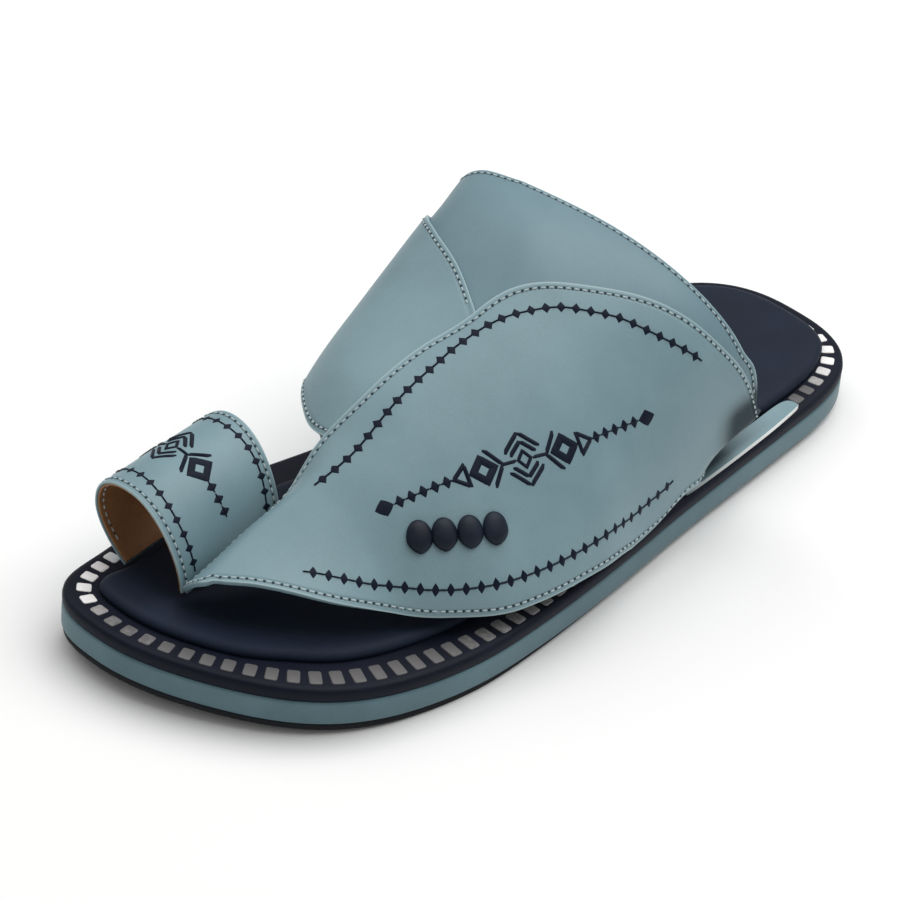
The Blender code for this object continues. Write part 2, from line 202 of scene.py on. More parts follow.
# Straps: each rib gives y and around of its front end, then of its rear end
straps = {
    "instep": {
        "wall": "foot", "lift": (0.0, 0.0), "thick": 0.9, "lining": 0.7, "along": 150, "across": 36,
        "creaseShade": True,
        "ribs": (
            (53, -1.00, 63.5, -1.00), (40, 0.00, 64.5, 0.00), (25, 0.25, 58.0, 0.25), (9, 0.50, 49.5, 0.50),
            (-7, 0.75, 41.0, 0.75), (-18, 1.00, 32.0, 1.00), (-13, 1.25, 29.5, 1.25), (-3, 1.50, 29.5, 1.50),
            (9, 1.75, 38.0, 1.75), (18, 2.00, 47.0, 2.00), (25, 2.35, 54.0, 2.35), (36, 2.75, 52.0, 2.75),
        ),
    },
    "panel": {
        "wall": "foot", "lift": (1.6, 1.6), "thick": 1.6, "lining": 0.0, "along": 110, "across": 64,
        "ribs": (
            (-58, 0.94, -16.0, 0.94), (-62.5, 1.15, -4.0, 1.14), (-62.5, 1.32, 3.0, 1.35), (-60, 1.50, 10.0, 1.55),
            (-54, 1.68, 21.0, 1.76), (-46, 1.88, 36.0, 1.90), (-40, 2.10, 50.0, 1.97), (-37, 2.35, 61.0, 2.08),
            (-35, 2.60, 66.5, 2.38), (-34, 2.80, 68.5, 2.70), (-34, 3.00, 69.0, 3.00),
        ),
    },
    "flap": {
        "wall": "foot", "lift": (1.6, 3.2), "liftFrom": 6.0, "liftTo": -14.0,  # on the strap, then on the panel
        "thick": 1.6, "lining": 0.0, "along": 140, "across": 70, "creaseShade": True,
        "ribs": (
            (-117.5, 1.70, -115.5, 1.90), (-118.0, 1.14, -110.0, 1.76), (-109, 0.775, -101.0, 1.64),
            (-98, 0.46, -90.0, 1.50), (-86, 0.245, -78.0, 1.41), (-72, 0.085, -64.0, 1.27),
            (-56, 0.025, -48.0, 1.09), (-38, 0.025, -26.0, 1.04), (-18, 0.025, -5.0, 0.95), (2, 0.00, 14.0, 0.73),
            (20, -0.10, 32.0, 0.53), (36, -0.46, 46.0, 0.32), (46, -0.72, 56.0, 0.17), (56, -1.00, 65.0, -0.04),
        ),
    },
    "toeLoop": {
        "wall": "toe", "lift": (0.0, 0.0), "thick": 0.9, "lining": 0.7, "along": 90, "across": 30,
        "ribs": (
            (-116, 0.00, -77.0, 0.00), (-118, 0.50, -76.0, 0.50), (-118.5, 1.00, -75.0, 1.00),
            (-118, 1.50, -75.0, 1.50), (-117, 2.00, -76.0, 2.00), (-116, 3.00, -78.0, 3.00),
        ),
    },
}
edgeRound = {"radius": 0.42, "segments": 3, "liningInset": 0.35, "liningRadius": 0.2}  # turned edges of the leather
creaseShade = {"around": (0.12, 0.04, -0.08, -0.30), "from": 42, "full": 54, "dark": 0.88}  # painted shade where the strap ends turn in


def strapLift(strap, y):
    low, high = strap["lift"]
    return low if low == high else low + (high - low) * ease(strap["liftFrom"], strap["liftTo"], y)


def strapPlace(strap, along, across):  # y and around at a share of a strap's length and width
    last = len(strap["ribs"]) - 1
    rows = strap.setdefault("rows", tuple((i / last, *rib) for i, rib in enumerate(strap["ribs"])))
    frontY, frontAround, rearY, rearAround = through(rows, along)
    return frontY + (rearY - frontY) * across, frontAround + (rearAround - frontAround) * across


def strapPoint(strap, along, across, lift=0.0):  # lift counts from the strap's outer face
    y, around = strapPlace(strap, along, across)
    return onWall(strap["wall"], y, around, strapLift(strap, y) + lift)


def insetShares(strap, along, inset):  # shares of the width that lie a fixed way in from the front and rear edge
    shares, stride = [], 0.0125
    for edge, way in ((0.0, 1), (1.0, -1)):
        gone, share, a = 0.0, 0.0, strapPoint(strap, along, edge)
        while gone < inset and share < 0.5:
            share += stride
            b = strapPoint(strap, along, edge + way * share)
            gone += (b - a).length
            a = b
        lastStride = (b - strapPoint(strap, along, edge + way * (share - stride))).length
        over = max(gone - inset, 0.0) / max(lastStride, 0.001)
        shares.append(share - stride * min(over, 1.0))
    return shares


# Materials
def tint(code):  # sRGB hex to linear
    parts = [int(code[i:i + 2], 16) / 255 for i in (0, 2, 4)]
    return (*[c / 12.92 if c <= 0.04045 else ((c + 0.055) / 1.055) ** 2.4 for c in parts], 1.0)


def addNode(material, kind, settings=None, links=None):
    node = material.node_tree.nodes.new(kind)
    for key, value in (settings or {}).items():
        if key == "stops":  # of a colour ramp
            for stop, (place, colour) in zip(node.color_ramp.elements, value):
                stop.position, stop.color = place, colour
        elif isinstance(key, int) or key in node.inputs:
            node.inputs[key].default_value = value
        else:
            setattr(node, key, value)
    for key, source in (links or {}).items():
        material.node_tree.links.new(source, node.inputs[key])
    return node


def newMaterial(name):
    material = bpy.data.materials.new(name)
    material.use_nodes = True
    return material, material.node_tree.nodes["Principled BSDF"]


def perMetre(size):  # texture scale for a pattern of that size in millimetres
    return 1 / (size * mm)


def fineNoise(material, place, size, detail, rough=0.5):
    settings = {"Scale": perMetre(size), "Detail": detail, "Roughness": rough}
    return addNode(material, "ShaderNodeTexNoise", settings, {"Vector": place}).outputs["Fac"]


def mapRange(material, value, low, high, start, end, kind="LINEAR"):  # low gives start, high gives end
    settings = {1: low, 2: high, 3: start, 4: end, "interpolation_type": kind}
    return addNode(material, "ShaderNodeMapRange", settings, {"Value": value}).outputs["Result"]


def relief(material, height, strength, depth, under=None):
    links = {"Height": height, "Normal": under} if under else {"Height": height}
    settings = {"Strength": strength, "Distance": depth * mm}
    return addNode(material, "ShaderNodeBump", settings, links).outputs["Normal"]


def leather(name, look):
    # Drum-dyed leather: slow cloudy colour, a fine pebble grain and small pores that break the shine
    material, shader = newMaterial(name)
    links = material.node_tree.links
    place = addNode(material, "ShaderNodeTexCoord").outputs["Object"]
    cloud = fineNoise(material, place, look["cloud"], 5.0, 0.6)
    grain = addNode(
        material, "ShaderNodeTexVoronoi",
        {"feature": "SMOOTH_F1", "Scale": perMetre(look["grain"]), "Smoothness": 0.6}, {"Vector": place},
    ).outputs["Distance"]
    pores = fineNoise(material, place, look["pores"], 3.0)
    colour = addNode(
        material, "ShaderNodeValToRGB",
        {"stops": [(0.30, tint(look["dark"])), (0.70, tint(look["light"]))]}, {"Fac": cloud},
    ).outputs["Color"]
    fleck = mapRange(material, pores, 0.35, 0.75, look["fleck"], 1.0)
    colour = addNode(
        material, "ShaderNodeMix", {"data_type": "RGBA", "blend_type": "MULTIPLY", 0: 1.0}, {6: colour, 7: fleck},
    ).outputs[2]
    height = addNode(
        material, "ShaderNodeMath", {"operation": "MULTIPLY_ADD", 1: 0.35}, {0: pores, 2: grain},
    ).outputs["Value"]
    bump = relief(material, height, look["bump"], look["depth"])
    if "edge" in look:  # pale line along the turned edge, partly burnish and partly painted highlight, and the furrow that the stitches pull in
        edge = addNode(material, "ShaderNodeAttribute", {"attribute_name": "edge"}).outputs["Fac"]
        burnishAndHighlight = mapRange(material, edge, 0.0, look["edgeWidth"], 1.0, 0.0)
        colour = addNode(
            material, "ShaderNodeMix", {"data_type": "RGBA", 7: tint(look["edge"])}, {0: burnishAndHighlight, 6: colour},
        ).outputs[2]
        off = addNode(
            material, "ShaderNodeMath", {"operation": "SUBTRACT", 1: look["furrowAt"]}, {0: edge},
        ).outputs["Value"]
        off = addNode(material, "ShaderNodeMath", {"operation": "ABSOLUTE"}, {0: off}).outputs["Value"]
        furrow = mapRange(material, off, 0.0, look["furrowWidth"], 0.0, 1.0, "SMOOTHSTEP")
        bump = relief(material, furrow, 1.0, look["furrowDepth"], bump)
    rough = mapRange(material, cloud, 0.3, 0.7, *look["rough"])
    if "paintedShade" in look:  # painted shade, dark and also dull, where the leather turns in and on the tab by the strap ends
        paintedShade = addNode(material, "ShaderNodeAttribute", {"attribute_name": "paintedShade"}).outputs["Fac"]
        colour = addNode(
            material, "ShaderNodeMix", {"data_type": "RGBA", 7: tint(look["paintedShade"])}, {0: paintedShade, 6: colour},
        ).outputs[2]
        rough = addNode(material, "ShaderNodeMath", {"operation": "MAXIMUM"}, {0: rough, 1: paintedShade}).outputs["Value"]
    links.new(colour, shader.inputs["Base Color"])
    links.new(rough, shader.inputs["Roughness"])
    links.new(bump, shader.inputs["Normal"])
    shader.inputs["Specular IOR Level"].default_value = look["shine"]
    return material


def threadMaterial(name, look):
    # Twisted thread: strands across each stitch, drawn coarser than real ones to show, with a soft sheen
    material, shader = newMaterial(name)
    links = material.node_tree.links
    place = addNode(material, "ShaderNodeUVMap", {"uv_map": "thread"}).outputs["UV"]
    strands = addNode(
        material, "ShaderNodeTexWave",
        {"bands_direction": "X", "Scale": look["strand"], "Distortion": 0.6, "Detail": 1.0}, {"Vector": place},
    ).outputs["Fac"]
    colour = addNode(
        material, "ShaderNodeValToRGB",
        {"stops": [(0.15, tint(look["dark"])), (0.85, tint(look["light"]))]}, {"Fac": strands},
    )
    links.new(colour.outputs["Color"], shader.inputs["Base Color"])
    links.new(relief(material, strands, 0.5, 0.1), shader.inputs["Normal"])
    shader.inputs["Roughness"].default_value = look["rough"]
    shader.inputs["Specular IOR Level"].default_value = look["shine"]
    return material


# Pattern sizes and depths in millimetres, with grain and pores drawn coarser than real ones so that they show
finishes = {
    "strap": {  # smooth satin, with a pale edge that is partly burnish and partly painted highlight
        "dark": "718D96", "light": "7E9AA2", "cloud": 34.0, "grain": 1.1, "pores": 0.55, "fleck": 0.93, "bump": 0.22,
        "depth": 0.06, "rough": (0.44, 0.54), "shine": 0.45, "edge": "A3BBBE", "edgeWidth": 0.7,
        # the last colour is the painted shade where the strap ends turn in
        "furrowAt": 2.0, "furrowWidth": 0.9, "furrowDepth": 0.16, "paintedShade": "0C1920",
    },
    "band": {  # the strap's colour, darker as painted shade on the upright band, and tighter over the board
        "dark": "4C6A73", "light": "5F7E87", "cloud": 26.0, "grain": 0.9, "pores": 0.5, "fleck": 0.9, "bump": 0.25,
        "depth": 0.06, "rough": (0.40, 0.52), "shine": 0.4,
    },
    "footbed": {  # soft and nearly matt
        "dark": "141C2B", "light": "202A3C", "cloud": 40.0, "grain": 1.2, "pores": 0.6, "fleck": 0.86, "bump": 0.3,
        "depth": 0.08, "rough": (0.56, 0.68), "shine": 0.15,
    },
    "rim": {  # firm and dark, with little shine
        "dark": "0E121F", "light": "171C2B", "cloud": 18.0, "grain": 0.9, "pores": 0.5, "fleck": 0.85, "bump": 0.3,
        "depth": 0.06, "rough": (0.48, 0.60), "shine": 0.12,
    },
    "lining": {  # open grain, warm and dry
        "dark": "8E6340", "light": "AB7D53", "cloud": 22.0, "grain": 1.3, "pores": 0.6, "fleck": 0.82, "bump": 0.4,
        "depth": 0.1, "rough": (0.58, 0.72), "shine": 0.3,
    },
    "ornament": {  # tight over the dome, with a faint gleam
        "dark": "0F1622", "light": "1A2434", "cloud": 9.0, "grain": 0.8, "pores": 0.45, "fleck": 0.85, "bump": 0.25,
        "depth": 0.05, "rough": (0.42, 0.52), "shine": 0.2,
    },
}
strapLeather = leather("drum-dyed blue-grey calf leather", finishes["strap"])
# the instep's copy of the strap leather is darker: painted shade
shadedStrap = {**finishes["strap"], "dark": "67838D", "light": "728E97"}
shadedInstepLeather = leather("drum-dyed dark blue-grey calf leather", shadedStrap)
bandLeather = leather("skived blue-grey binding leather", finishes["band"])
footbedLeather = leather("drum-dyed navy sheep leather", finishes["footbed"])
rimLeather = leather("pressed navy rand leather", finishes["rim"])
liningLeather = leather("buffed tan pigskin", finishes["lining"])
ornamentLeather = leather("moulded navy leather", finishes["ornament"])
threads = {  # strand is the wave's scale on a UV map in millimetres
    "embroidery": {"dark": "060C18", "light": "0E1A30", "strand": 0.9, "rough": 0.5, "shine": 0.15},
    "seam": {"dark": "93A9AD", "light": "C8D5D6", "strand": 1.2, "rough": 0.5, "shine": 0.4},
}
embroideryThread = threadMaterial("twisted navy rayon thread", threads["embroidery"])
seamThread = threadMaterial("twisted pale polyester thread", threads["seam"])


# Sizes in millimetres, grit and fibre drawn coarser than real ones so that they show
plainFinishes = {
    "rubber": {  # matt, with a fine grit
        "fibre": 0.8, "detail": 4.0, "stops": ((0.3, "0D0F14"), (0.75, "181B22")), "depth": 0.12, "rough": 0.72,
        "shine": 0.25,
    },
    "lace": {  # clean and bright, greyer per window with painted shade
        "fibre": 1.4, "detail": 4.0, "stops": ((0.1, "F4F2F1"), (0.95, "5C5A5B")), "depth": 0.1, "rough": 0.55,
        "shine": 0.5, "fibreShare": 0.25, "shade": "laceShade",
    },
    "cutEdge": {  # painted highlight towards the heel, painted grey shade at the front
        "fibre": 0.9, "detail": 5.0, "stops": ((0.1, "66777B"), (0.95, "F2F5F3")), "depth": 0.1, "rough": 0.3,
        "shine": 0.5, "fibreShare": 0.2, "paleFrom": 40, "paleTo": 84, "pale": 0.85,
    },
    "hole": {  # painted shade inside the needle holes, dull
        "fibre": 0.5, "detail": 2.0, "stops": ((0.3, "1B2A30"), (0.7, "2F4148")), "depth": 0.0, "rough": 0.9,
        "shine": 0.5,
    },
}


def plainMaterial(name, look):  # noise between two colours, moved by an attribute (painted shade on the lace) or by the place along the shoe (painted highlight on the cut edge)
    material, shader = newMaterial(name)
    links = material.node_tree.links
    place = addNode(material, "ShaderNodeTexCoord").outputs["Object"]
    fibre = fineNoise(material, place, look["fibre"], look["detail"])
    mixed = fibre
    if "fibreShare" in look:
        if "shade" in look:
            shade = addNode(material, "ShaderNodeAttribute", {"attribute_name": look["shade"]}).outputs["Fac"]
        else:
            # painted highlight, paler towards the heel
            rear = addNode(material, "ShaderNodeSeparateXYZ", {}, {"Vector": place}).outputs["Y"]
            shade = mapRange(material, rear, look["paleFrom"] * mm, look["paleTo"] * mm, 0.0, look["pale"])
        mixed = addNode(
            material, "ShaderNodeMath", {"operation": "MULTIPLY_ADD", 1: look["fibreShare"]}, {0: fibre, 2: shade},
        ).outputs["Value"]
    stops = [(at, tint(code)) for at, code in look["stops"]]
    colour = addNode(material, "ShaderNodeValToRGB", {"stops": stops}, {"Fac": mixed})
    links.new(colour.outputs["Color"], shader.inputs["Base Color"])
    if look["depth"]:
        links.new(relief(material, fibre, 0.4, look["depth"]), shader.inputs["Normal"])
    shader.inputs["Roughness"].default_value = look["rough"]
    shader.inputs["Specular IOR Level"].default_value = look["shine"]
    return material


soleRubber = plainMaterial("moulded black crepe rubber", plainFinishes["rubber"])
laceLeather = plainMaterial("white split leather lacing", plainFinishes["lace"])
rawEdge = plainMaterial("leather cut edge with painted highlight", plainFinishes["cutEdge"])
needleHole = plainMaterial("punched leather", plainFinishes["hole"])
print("materials made")


def finishPiece(name, bm, materials, replaces=(), flat=False):
    bmesh.ops.recalc_face_normals(bm, faces=bm.faces)
    mesh = bpy.data.meshes.new(name)
    bm.to_mesh(mesh)
    bm.free()
    if not flat:
        mesh.shade_smooth()
        mesh.set_sharp_from_angle(angle=math.radians(50))
    for material in materials:
        mesh.materials.append(material)
    piece = bpy.data.objects.new(name, mesh)
    bpy.context.scene.collection.objects.link(piece)
    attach(piece, "root")
    if replaces:
        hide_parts(*replaces)
    return piece


def softenEdges(bm, edges, radius, segments, clamp=True):
    return bmesh.ops.bevel(
        bm, geom=edges, offset=radius * mm, offset_type="OFFSET", affect="EDGES", segments=segments, profile=0.5,
        material=-1, clamp_overlap=clamp,
    )["faces"]


# Sole: sheets that share one outline. Edge gives inset and height from below to the top face, and a shift the y where
# it starts and is full, and how far out the lateral and medial side go
soleSheets = {
    "outsole": {
        "across": 6, "shifts": ((-90, 20, (-1.2, -1.2)),),  # drawn in under the heel
        "edge": ((1.2, 0.0), (0.75, 0.2), (0.6, 0.6), (0.6, 1.9), (0.8, 2.2)),
    },
    "midsole": {"across": 6, "edge": ((0.7, 2.4), (0.15, 2.8), (0.0, 3.5), (0.0, 9.3), (0.12, 9.9), (0.5, 10.35))},
    "rim": {
        "across": 6,
        "edge": (
            (0.75, 10.5), (0.2, 10.9), (0.05, 11.6), (0.0, 13.0), (0.2, 14.0), (0.75, 14.65), (1.7, 14.95),
            (3.0, 15.0),
        ),
    },
    "insole": {
        "across": 30, "hollow": 0.6, "level": (6, 30),
        "shifts": ((73, 92, (5.0, 6.8)), (128, 142, (1.8, 0.0)), (-117, -130, (2.2, 2.2))),  # clear of the straps
        "edge": (
            (13.1, 15.2), (12.8, 15.9), (12.9, 16.7), (13.4, 17.5), (14.4, 18.1), (15.8, 18.4), (17.6, 18.5),
            (20.0, 18.45), (23.0, 18.3),
        ),
    },
}


def soleSheet(values):
    steps, edge, shifts = soleShape["steps"], values["edge"], values.get("shifts", ())
    bm = bmesh.new()
    station = bm.verts.layers.int.new("station")
    side = bm.verts.layers.int.new("side")
    for inset, height in (edge[-1], edge[0]):  # top, then underside
        grid = bmesh.ops.create_grid(bm, x_segments=values["across"], y_segments=steps, size=0.5)["verts"]
        lateral, medial = soleSides(inset, shifts)
        for vert in grid:
            share, i = vert.co.x + 0.5, round((vert.co.y + 0.5) * steps)
            flat = medial[i].lerp(lateral[i], share)
            sink = 0.0
            if "hollow" in values and (inset, height) == edge[-1]:  # level at heel and toe
                sink = values["hollow"] * (1 - (2 * share - 1) ** 2) * ease(*values["level"], min(i, steps - i))
            vert[station], vert[side] = i, 1 if share > 0.5 else -1
            vert.co = Vector((flat.x, flat.y, height + soleRise(flat.y) - sink)) * mm
    bmesh.ops.remove_doubles(bm, verts=bm.verts, dist=0.001 * mm)  # the points of heel and toe
    halfway = (edge[0][1] + edge[-1][1]) / 2
    loop = [
        e for e in bm.edges
        if e.is_boundary and e.verts[0].co.z > (halfway + soleRise(e.verts[0].co.y / mm)) * mm
    ]
    for inset, height in edge[-2::-1]:  # from the top down the side
        made = bmesh.ops.extrude_edge_only(bm, edges=loop)["geom"]
        sides = dict(zip((1, -1), soleSides(inset, shifts)))
        for vert in (v for v in made if isinstance(v, bmesh.types.BMVert)):
            flat = sides[vert[side]][vert[station]]
            vert.co = Vector((flat.x, flat.y, height + soleRise(flat.y))) * mm
        loop = [e for e in made if isinstance(e, bmesh.types.BMEdge) and e.is_boundary]
    bmesh.ops.remove_doubles(bm, verts=bm.verts, dist=0.001 * mm)  # the last ring meets the underside
    return bm


finishPiece("outsole_rubber", soleSheet(soleSheets["outsole"]), [soleRubber], ["outsole"])
finishPiece("midsole_band", soleSheet(soleSheets["midsole"]), [bandLeather], ["midsole"])
finishPiece("rim_cover", soleSheet(soleSheets["rim"]), [rimLeather], ["rim"])
cushion = soleSheet(soleSheets["insole"])
insole = finishPiece("padded_insole", cushion, [footbedLeather], ["insole"])
print("sole built")


# Lacing: a flat lace that shows through a ladder of windows in the rim
lacing = {
    "count": 104, "high": 0.9, "proud": 0.28, "corner": 0.75, "soft": 0.25, "pitchAt": 5.5,
    "longVary": 0.10, "wideVary": 0.06, "turnVary": 3.0, "greyVary": 0.10,  # uneven by hand
    "lateral": (  # y, middle of the windows from the sole's edge, their width and length, how much painted shade
        (-143, 5.6, 4.3, 3.9, 0.75), (-140, 5.4, 4.8, 3.9, 0.85), (-134, 5.4, 5.3, 3.8, 0.9),
        (-118, 5.8, 5.9, 3.8, 0.9), (-95, 6.0, 6.5, 3.7, 0.9), (-70, 5.8, 6.4, 3.7, 0.85), (-45, 4.6, 5.6, 3.8, 0.7),
        (-15, 4.4, 5.0, 3.8, 0.6), (60, 4.8, 4.6, 3.8, 0.7), (104, 5.1, 4.4, 3.9, 0.95), (114, 5.1, 4.3, 3.9, 0.75),
        (122, 5.1, 4.3, 3.9, 0.3), (129, 5.1, 4.3, 3.9, 0.0), (139, 5.1, 4.2, 3.9, 0.0), (143, 5.8, 2.5, 3.7, 0.0),
    ),
    "medial": (
        (-143, 5.8, 4.3, 3.9, 0.95), (-141.3, 6.2, 4.4, 3.9, 0.0), (-132, 6.0, 4.4, 3.9, 0.0),
        (-118, 5.0, 4.6, 3.9, 0.0), (-90, 4.8, 4.6, 3.9, 0.0), (60, 5.5, 2.8, 3.9, 0.1), (143, 5.6, 2.6, 3.9, 0.0),
    ),
    "panelGap": (-80, 71), "tabGap": (31, 101),  # y where the panel and the tab cover it
}


def buildLacing():
    middle = soleSides(lacing["pitchAt"])
    ring = middle[0] + middle[1][-2:0:-1]
    edge = soleSides(0.0)
    outline = edge[0] + edge[1][-2:0:-1]
    lengths = [0.0]
    for a, b in zip(ring, ring[1:] + ring[:1]):
        lengths.append(lengths[-1] + (b - a).length)
    bm = bmesh.new()
    laceShade = bm.verts.layers.float.new("laceShade")
    k = 0
    for n in range(lacing["count"]):
        target = lengths[-1] * (n + 0.5) / lacing["count"]
        while lengths[k + 1] < target:
            k += 1
        share = (target - lengths[k]) / (lengths[k + 1] - lengths[k])
        after = (k + 1) % len(ring)
        rand = outline[k].lerp(outline[after], share)
        inward = (ring[k].lerp(ring[after], share) - rand).normalized()
        lateralSide = k < soleShape["steps"]
        hidden = lacing["tabGap"] if lateralSide else lacing["panelGap"]
        if hidden[0] < rand.y < hidden[1]:
            continue
        inset, wide, long, grey = through(lacing["lateral" if lateralSide else "medial"], rand.y)
        spot = rand + inward * inset
        wobble = noise.noise(Vector((n * 1.7, 3.1, 0.0)))
        made = bmesh.ops.create_cube(bm, size=1.0)["verts"]
        long *= 1 + lacing["longVary"] * wobble
        wide *= 1 - lacing["wideVary"] * wobble
        bmesh.ops.scale(bm, vec=Vector((long, wide, lacing["high"])) * mm, verts=made)
        edges = {e for v in made for e in v.link_edges}
        upright = [e for e in edges if abs(e.verts[0].co.z - e.verts[1].co.z) > 0.1 * mm]
        rounded = softenEdges(bm, upright, lacing["corner"], 3, False)
        verts = {v for f in rounded for v in f.verts}
        topEdges = {e for v in verts for e in v.link_edges if all(w.co.z > 0 for w in e.verts)}
        softened = softenEdges(bm, list(topEdges), lacing["soft"], 2, False)
        verts = {v for v in verts if v.is_valid} | {v for f in softened for v in f.verts}
        verts |= {v for w in list(verts) for f in w.link_faces for v in f.verts}
        height = soleShape["rimTop"] + soleRise(spot.y) + lacing["proud"] - lacing["high"] / 2
        turn = math.atan2(inward.y, inward.x) - math.pi / 2 + math.radians(lacing["turnVary"]) * wobble
        slope = math.atan2(soleRise(spot.y + 1) - soleRise(spot.y - 1), 2)
        spin = Matrix.Rotation(slope, 4, "X") @ Matrix.Rotation(turn, 4, "Z")
        seat = Matrix.Translation(Vector((spot.x, spot.y, height)) * mm)
        bmesh.ops.transform(bm, matrix=seat @ spin, verts=list(verts))
        for vert in verts:
            # painted shade per window, with a little random unevenness
            vert[laceShade] = min(max(grey + lacing["greyVary"] * wobble, 0.0), 1.0)
    return bm


finishPiece("rim_lacing", buildLacing(), [laceLeather])
print("lacing built")


def doubleGrid(along, across):  # flat grid and its copy for the inner face, joined round the rim
    bm = bmesh.new()
    bmesh.ops.create_grid(bm, x_segments=along, y_segments=across, size=0.5)
    # the second layer holds where painted shade darkens the leather
    layers = [bm.verts.layers.float.new(name) for name in ("edge", "paintedShade")]
    outer = set(bm.faces)
    shell = bmesh.ops.extrude_face_region(bm, geom=bm.faces[:], use_keep_orig=True)["geom"]
    under = {v for v in shell if isinstance(v, bmesh.types.BMVert)}
    broad = outer | {f for f in shell if isinstance(f, bmesh.types.BMFace)}
    return bm, layers, outer, under, broad


def roundRim(bm, broad, radius):
    bmesh.ops.recalc_face_normals(bm, faces=bm.faces)
    rimEdges = [e for e in bm.edges if sum(f in broad for f in e.link_faces) == 1]
    softenEdges(bm, rimEdges, radius, edgeRound["segments"])
    return bm


def strapSheet(strap, depth, thick, inset, along, across, radius):  # sheet between two depths below the outer face
    bm, (edgeLayer, paintedShade), outer, under, broad = doubleGrid(along, across)
    cuts = {}
    endCut = inset / max((strapPoint(strap, 0.01, 0.5) - strapPoint(strap, 0.0, 0.5)).length * 100, 1.0)
    for vert in bm.verts:
        u, v = vert.co.x + 0.5, vert.co.y + 0.5
        u = endCut + u * (1 - 2 * endCut)
        if inset:
            if u not in cuts:
                cuts[u] = insetShares(strap, u, inset)
            v = cuts[u][0] + v * (1 - cuts[u][0] - cuts[u][1])
        if "creaseShade" in strap:  # painted shade: soft dark line where the strap turns in
            y, around = strapPlace(strap, u, v)
            high, full, fade, low = creaseShade["around"]
            dark = creaseShade["dark"] * ease(high, full, around) * ease(low, fade, around)
            vert[paintedShade] = dark * ease(creaseShade["from"], creaseShade["full"], y)
        vert.co = strapPoint(strap, u, v, -(depth + thick) if vert in under else -depth) * mm
    border = {v for e in bm.edges if sum(f in outer for f in e.link_faces) == 1 for v in e.verts if v not in under}
    tree = kdtree.KDTree(len(border))
    for i, vert in enumerate(border):
        tree.insert(vert.co, i)
    tree.balance()
    for vert in bm.verts:
        vert[edgeLayer] = tree.find(vert.co)[2] / mm
    return roundRim(bm, broad, radius)


for name, strap in straps.items():
    node = "toe_loop" if name == "toeLoop" else "upper"
    skin = shadedInstepLeather if name == "instep" else strapLeather
    bm = strapSheet(strap, 0.0, strap["thick"], 0.0, strap["along"], strap["across"], edgeRound["radius"])
    finishPiece(name + "_leather", bm, [skin], [node])
    if strap["lining"]:
        bm = strapSheet(
            strap, strap["thick"], strap["lining"], edgeRound["liningInset"], strap["along"] // 2,
            strap["across"] // 2, edgeRound["liningRadius"],
        )
        finishPiece(name + "_lining", bm, [liningLeather])
print("straps built")

# Tab: flat strip on the lateral rim, with a bare cut edge outside
tab = {
    "front": 39.0, "rear": 100.0, "outer": 1.6, "bow": 1.1, "inner": 6.3, "thick": 1.6, "rise": 0.6, "square": 6,
    "endShare": 0.06, "along": 60, "across": 10, "radius": 0.45, "plain": 5.0,
    "dark": 0.9, "darkAcross": (-0.3, 0.6), "darkAlong": (94, 56),  # painted shade towards the strap ends
}


def buildTab():
    bm, (edgeLayer, paintedShade), _, under, broad = doubleGrid(tab["along"], tab["across"])
    for vert in bm.verts:
        share, across = vert.co.x + 0.5, vert.co.y + 0.5
        y = tab["front"] + (tab["rear"] - tab["front"]) * (0.5 - 0.5 * math.cos(math.pi * share))
        across *= max(1 - abs(2 * share - 1) ** tab["square"], tab["endShare"])
        inset = tab["outer"] - tab["bow"] * math.sin(math.pi * share)
        x = soleEdge(y, 1) - inset - (tab["inner"] - inset) * across
        z = soleShape["rimTop"] + soleShape["seatGap"] + tab["rise"] * across ** 2
        vert[edgeLayer] = tab["plain"]  # no burnished line or furrow
        # painted shade, darker towards the front and the inner side
        vert[paintedShade] = tab["dark"] * ease(*tab["darkAcross"], across) * ease(*tab["darkAlong"], y)
        vert.co = Vector((x, y, z if vert in under else z + tab["thick"])) * mm
    for face in bm.faces:
        face.material_index = 0 if face in broad else 1  # cut edge
    return roundRim(bm, broad, tab["radius"])


finishPiece("lateral_tab_leather", buildTab(), [strapLeather, rawEdge], ["lateral_tab"])
print("tab built")

# Seams: pale stitches with a needle hole at both ends, each hole a flat disc of painted shade
seams = {
    "inset": 2.0, "pitch": 2.5, "stitchLong": 1.75, "stitchWide": 0.62, "stitchHigh": 0.5, "hole": 0.48,
    "stitchLift": 0.12, "holeLift": 0.03, "steps": 160,
    "rows": (  # strap, edge, where it starts and ends, and depth below the outer face
        ("flap", "front", 0.02, 0.93, 0.0), ("flap", "rear", 0.02, 0.99, 0.0),
        ("instep", "rear", 0.10, 0.93, 0.0), ("instep", "front", 0.10, 0.40, 0.0),
        ("panel", "front", 0.05, 0.97, 0.0), ("panel", "rear", 0.05, 0.97, 0.0),
        ("toeLoop", "front", 0.02, 0.96, 0.0), ("toeLoop", "rear", 0.02, 0.96, 0.0),
        ("instep", "rear", 0.10, 0.93, 1.6), ("toeLoop", "front", 0.02, 0.96, 1.6),
        ("toeLoop", "rear", 0.02, 0.96, 1.6), ("panel", "rear", 0.40, 0.97, 1.6),
    ),
}


def seamPath(strap, edge, start, end, depth):  # points and normals along an edge, a fixed way in from it
    points = []
    for i in range(seams["steps"] + 1):
        along = start + (end - start) * i / seams["steps"]
        cuts = insetShares(strap, along, seams["inset"])
        across = cuts[0] if edge == "front" else 1 - cuts[1]
        p = strapPoint(strap, along, across, -depth)
        up = strapPoint(strap, along, across, 1.0 - depth) - p
        points.append((p, up.normalized() if depth == 0 else -up.normalized()))
    return points


